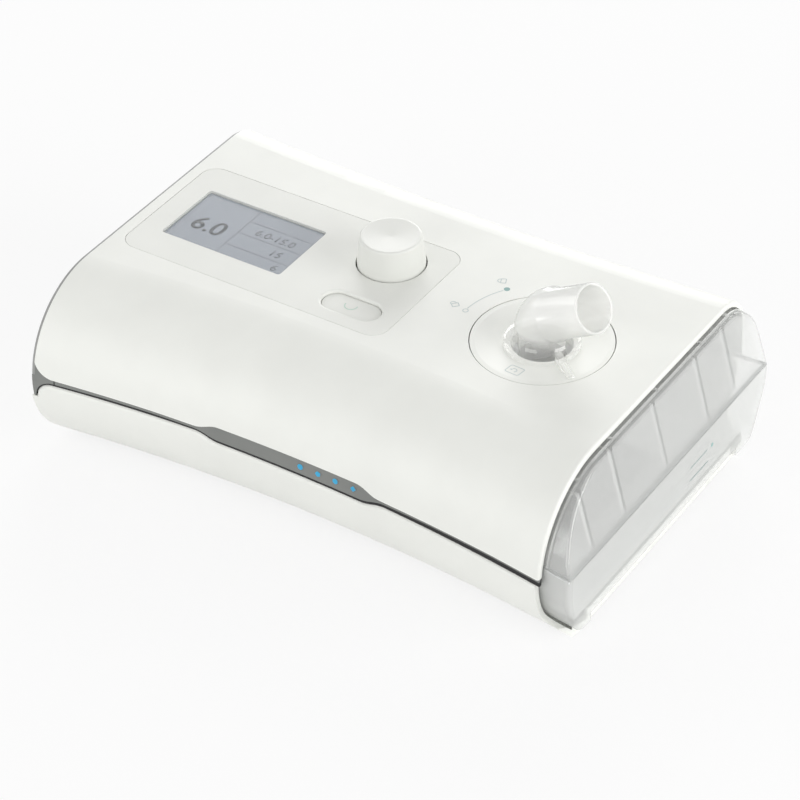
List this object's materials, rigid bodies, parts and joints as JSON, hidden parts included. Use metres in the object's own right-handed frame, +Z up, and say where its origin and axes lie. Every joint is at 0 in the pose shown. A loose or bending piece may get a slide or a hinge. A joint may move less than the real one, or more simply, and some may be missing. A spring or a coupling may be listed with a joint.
{
  "type": "cpap machine",
  "caption": "Bedside CPAP machine with waisted white casing, display, press-and-turn knob, confirm button, clear turning outlet elbow and clear slide-out humidifier tank.",
  "frame": {"origin": "on the table under the middle of the casing's length and depth", "axes": "+X along the length towards the humidifier tank, -Y the front with the lights, +Z up"},
  "size_m": [0.274, 0.1792, 0.1179],
  "materials": {
    "white_abs": "satin moulded ABS",
    "panel_white": "fine satin insert",
    "cap_grey": "satin moulded ABS",
    "trim_grey": "smoked gloss strip",
    "light_lens": "tinted light pipe",
    "window_clear": "clear acrylic window",
    "display_grey": "LCD glass in a frame",
    "clear_pc": "clear polycarbonate",
    "silicone": "soft silicone",
    "foot_rubber": "moulded rubber",
    "steel": "bright steel",
    "aluminium_plate": "anodised plate",
    "board_green": "fibreglass board",
    "component_black": "moulded component",
    "blower_grey": "glass filled nylon",
    "foam": "open cell foam",
    "frame_white": "moulded liner"
  },
  "bodies": {
    "casing": {"upper_shell": "white_abs", "lower_shell": "white_abs", "left_end_cap": "cap_grey", "front_trim": "trim_grey", "trim_seal": "foot_rubber", "indicator_lights": "light_lens", "control_panel": "panel_white", "display_window": "window_clear", "display_module": "display_grey", "feet": "foot_rubber", "case_screws": "steel", "encoder_body": "component_black", "button_switch": "component_black", "main_board": "board_green", "board_chips": "component_black", "pressure_sensor": "component_black", "io_board": "board_green", "power_socket": "component_black", "card_socket": "steel", "air_filter": "foam", "intake_muffler": "frame_white", "sound_foam": "foam", "blower_housing": "blower_grey", "blower_cover": "blower_grey", "motor": "steel", "blower_mounts": "silicone", "air_duct": "silicone", "port_seal": "silicone", "bay_frame": "frame_white"},
    "encoder": {"encoder_rotor": "component_black"},
    "knob": {"knob": "white_abs", "encoder_shaft": "steel"},
    "button": {"confirm_button": "panel_white"},
    "blower_rotor": {"impeller": "blower_grey", "motor_shaft": "steel"},
    "outlet": {"outlet_disc": "white_abs", "disc_clip": "frame_white", "outlet_elbow": "clear_pc", "elbow_seal": "silicone"},
    "tank": {"tank_tub": "clear_pc", "tank_lid": "clear_pc", "tank_gasket": "silicone", "tank_heat_plate": "steel", "lid_hinge_pin": "steel"},
    "heater": {"heater_plate": "aluminium_plate", "heater_springs": "steel"},
    "filter_door": {"filter_cover": "white_abs"},
    "card": {"memory_card": "component_black"}
  },
  "joints": [
    {"name": "knob_turn", "type": "hinge", "parent": "casing", "child": "encoder", "pos_m": [-0.017, 0.0202, 0.07], "axis": [0, 0, 1], "continuous": true},
    {"name": "knob_press", "type": "slide", "parent": "encoder", "child": "knob", "axis": [0, 0, -1], "range_m": [0, 0.001], "stiffness_N_per_m": 3000, "springref_m": -0.0006},
    {"name": "confirm_press", "type": "slide", "parent": "casing", "child": "button", "axis": [0, 0, -1], "range_m": [0, 0.0009], "stiffness_N_per_m": 1500, "springref_m": -0.0006},
    {"name": "blower_spin", "type": "hinge", "parent": "casing", "child": "blower_rotor", "pos_m": [-0.048, 0.002, 0.045], "axis": [0, 0, 1], "continuous": true},
    {"name": "outlet_turn", "type": "hinge", "parent": "casing", "child": "outlet", "pos_m": [0.0686, 0.0061, 0.0755], "axis": [0, 0, 1], "range_deg": [0, 36]},
    {"name": "tank_slide", "type": "slide", "parent": "casing", "child": "tank", "axis": [1, 0, 0], "range_m": [0, 0.12]},
    {"name": "heater_float", "type": "slide", "parent": "casing", "child": "heater", "axis": [0, 0, -1], "range_m": [0, 0.0015], "stiffness_N_per_m": 2500, "springref_m": -0.0012},
    {"name": "filter_pull", "type": "slide", "parent": "casing", "child": "filter_door", "axis": [0, 1, 0], "range_m": [0, 0.03]},
    {"name": "card_slide", "type": "slide", "parent": "casing", "child": "card", "axis": [0, 1, 0], "range_m": [0, 0.034]}
  ]
}
